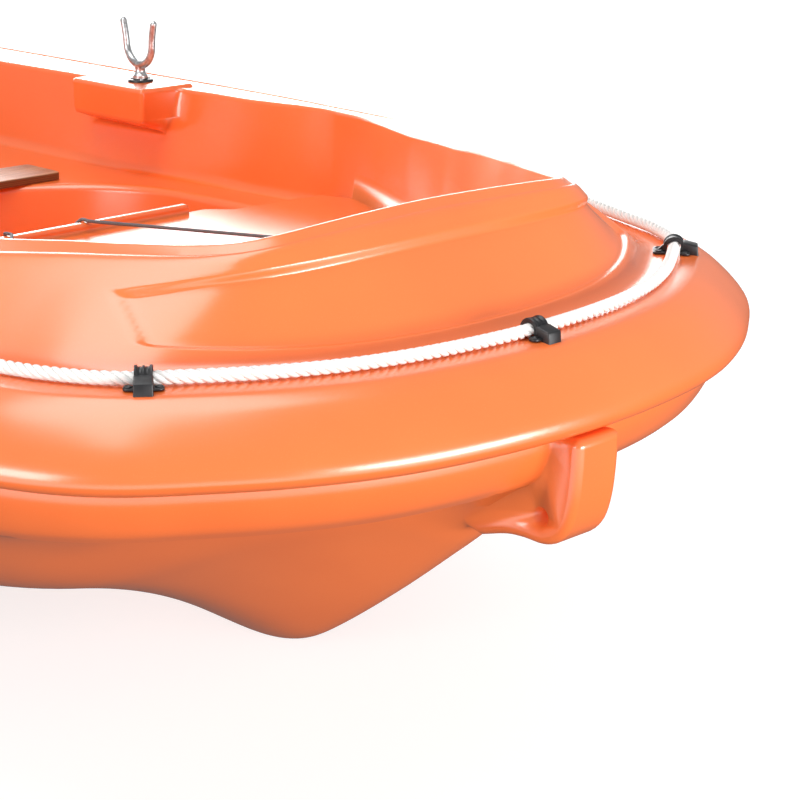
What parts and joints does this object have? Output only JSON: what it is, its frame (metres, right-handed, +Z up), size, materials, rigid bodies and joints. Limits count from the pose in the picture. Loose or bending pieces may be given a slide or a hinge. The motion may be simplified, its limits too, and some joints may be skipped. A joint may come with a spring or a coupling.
{
  "type": "plastic dinghy",
  "caption": "Blunt-bowed foam-filled plastic dinghy with a three-lobed hull, fender belt, rope lifeline, foot wells, seat board and swivelling rowlocks.",
  "frame": {"origin": "on the floor under the middle of the boat's box", "axes": "+Z up, bow towards -Y, port side towards +X"},
  "size_m": [1.4804, 3.0297, 0.5999],
  "materials": {
    "black_plastic": "satin black moulded plastic",
    "galvanised_steel": "galvanised",
    "grey_elastic": "grey braided elastic cord",
    "orange_polyethylene": "satin moulded polyethylene, bright orange",
    "varnished_board": "varnished ply",
    "white_rope": "laid white rope"
  },
  "bodies": {
    "boat": {"clip_bow": "black_plastic", "clip_port_1": "black_plastic", "clip_port_2": "black_plastic", "clip_port_3": "black_plastic", "clip_port_4": "black_plastic", "clip_port_5": "black_plastic", "clip_port_6": "black_plastic", "clip_port_7": "black_plastic", "clip_starboard_1": "black_plastic", "clip_starboard_2": "black_plastic", "clip_starboard_3": "black_plastic", "clip_starboard_4": "black_plastic", "clip_starboard_5": "black_plastic", "clip_starboard_6": "black_plastic", "clip_starboard_7": "black_plastic", "deck_moulding": "orange_polyethylene", "drain_flange": "black_plastic", "drain_plug": "black_plastic", "elastic_anchor": "black_plastic", "elastic_hook_port": "black_plastic", "elastic_hook_starboard": "black_plastic", "elastic_port": "grey_elastic", "elastic_starboard": "grey_elastic", "hull_moulding": "orange_polyethylene", "lifeline": "white_rope", "lifeline_knot_port": "white_rope", "lifeline_knot_starboard": "white_rope", "rowlock_socket_port": "black_plastic", "rowlock_socket_starboard": "black_plastic", "stern_handle_port": "black_plastic", "stern_handle_starboard": "black_plastic", "thwart_board": "varnished_board", "transom_pad_inner": "black_plastic", "transom_pad_outer": "black_plastic"},
    "rowlock_port": {"rowlock_port": "galvanised_steel"},
    "rowlock_starboard": {"rowlock_starboard": "galvanised_steel"}
  },
  "joints": [
    {"name": "rowlock_port_swivel", "type": "hinge", "parent": "boat", "child": "rowlock_port", "pos_m": [0.498, -0.1371, 0.5045], "axis": [0, 0, 1], "continuous": true},
    {"name": "rowlock_starboard_swivel", "type": "hinge", "parent": "boat", "child": "rowlock_starboard", "pos_m": [-0.498, -0.1371, 0.5045], "axis": [0, 0, 1], "continuous": true}
  ]
}
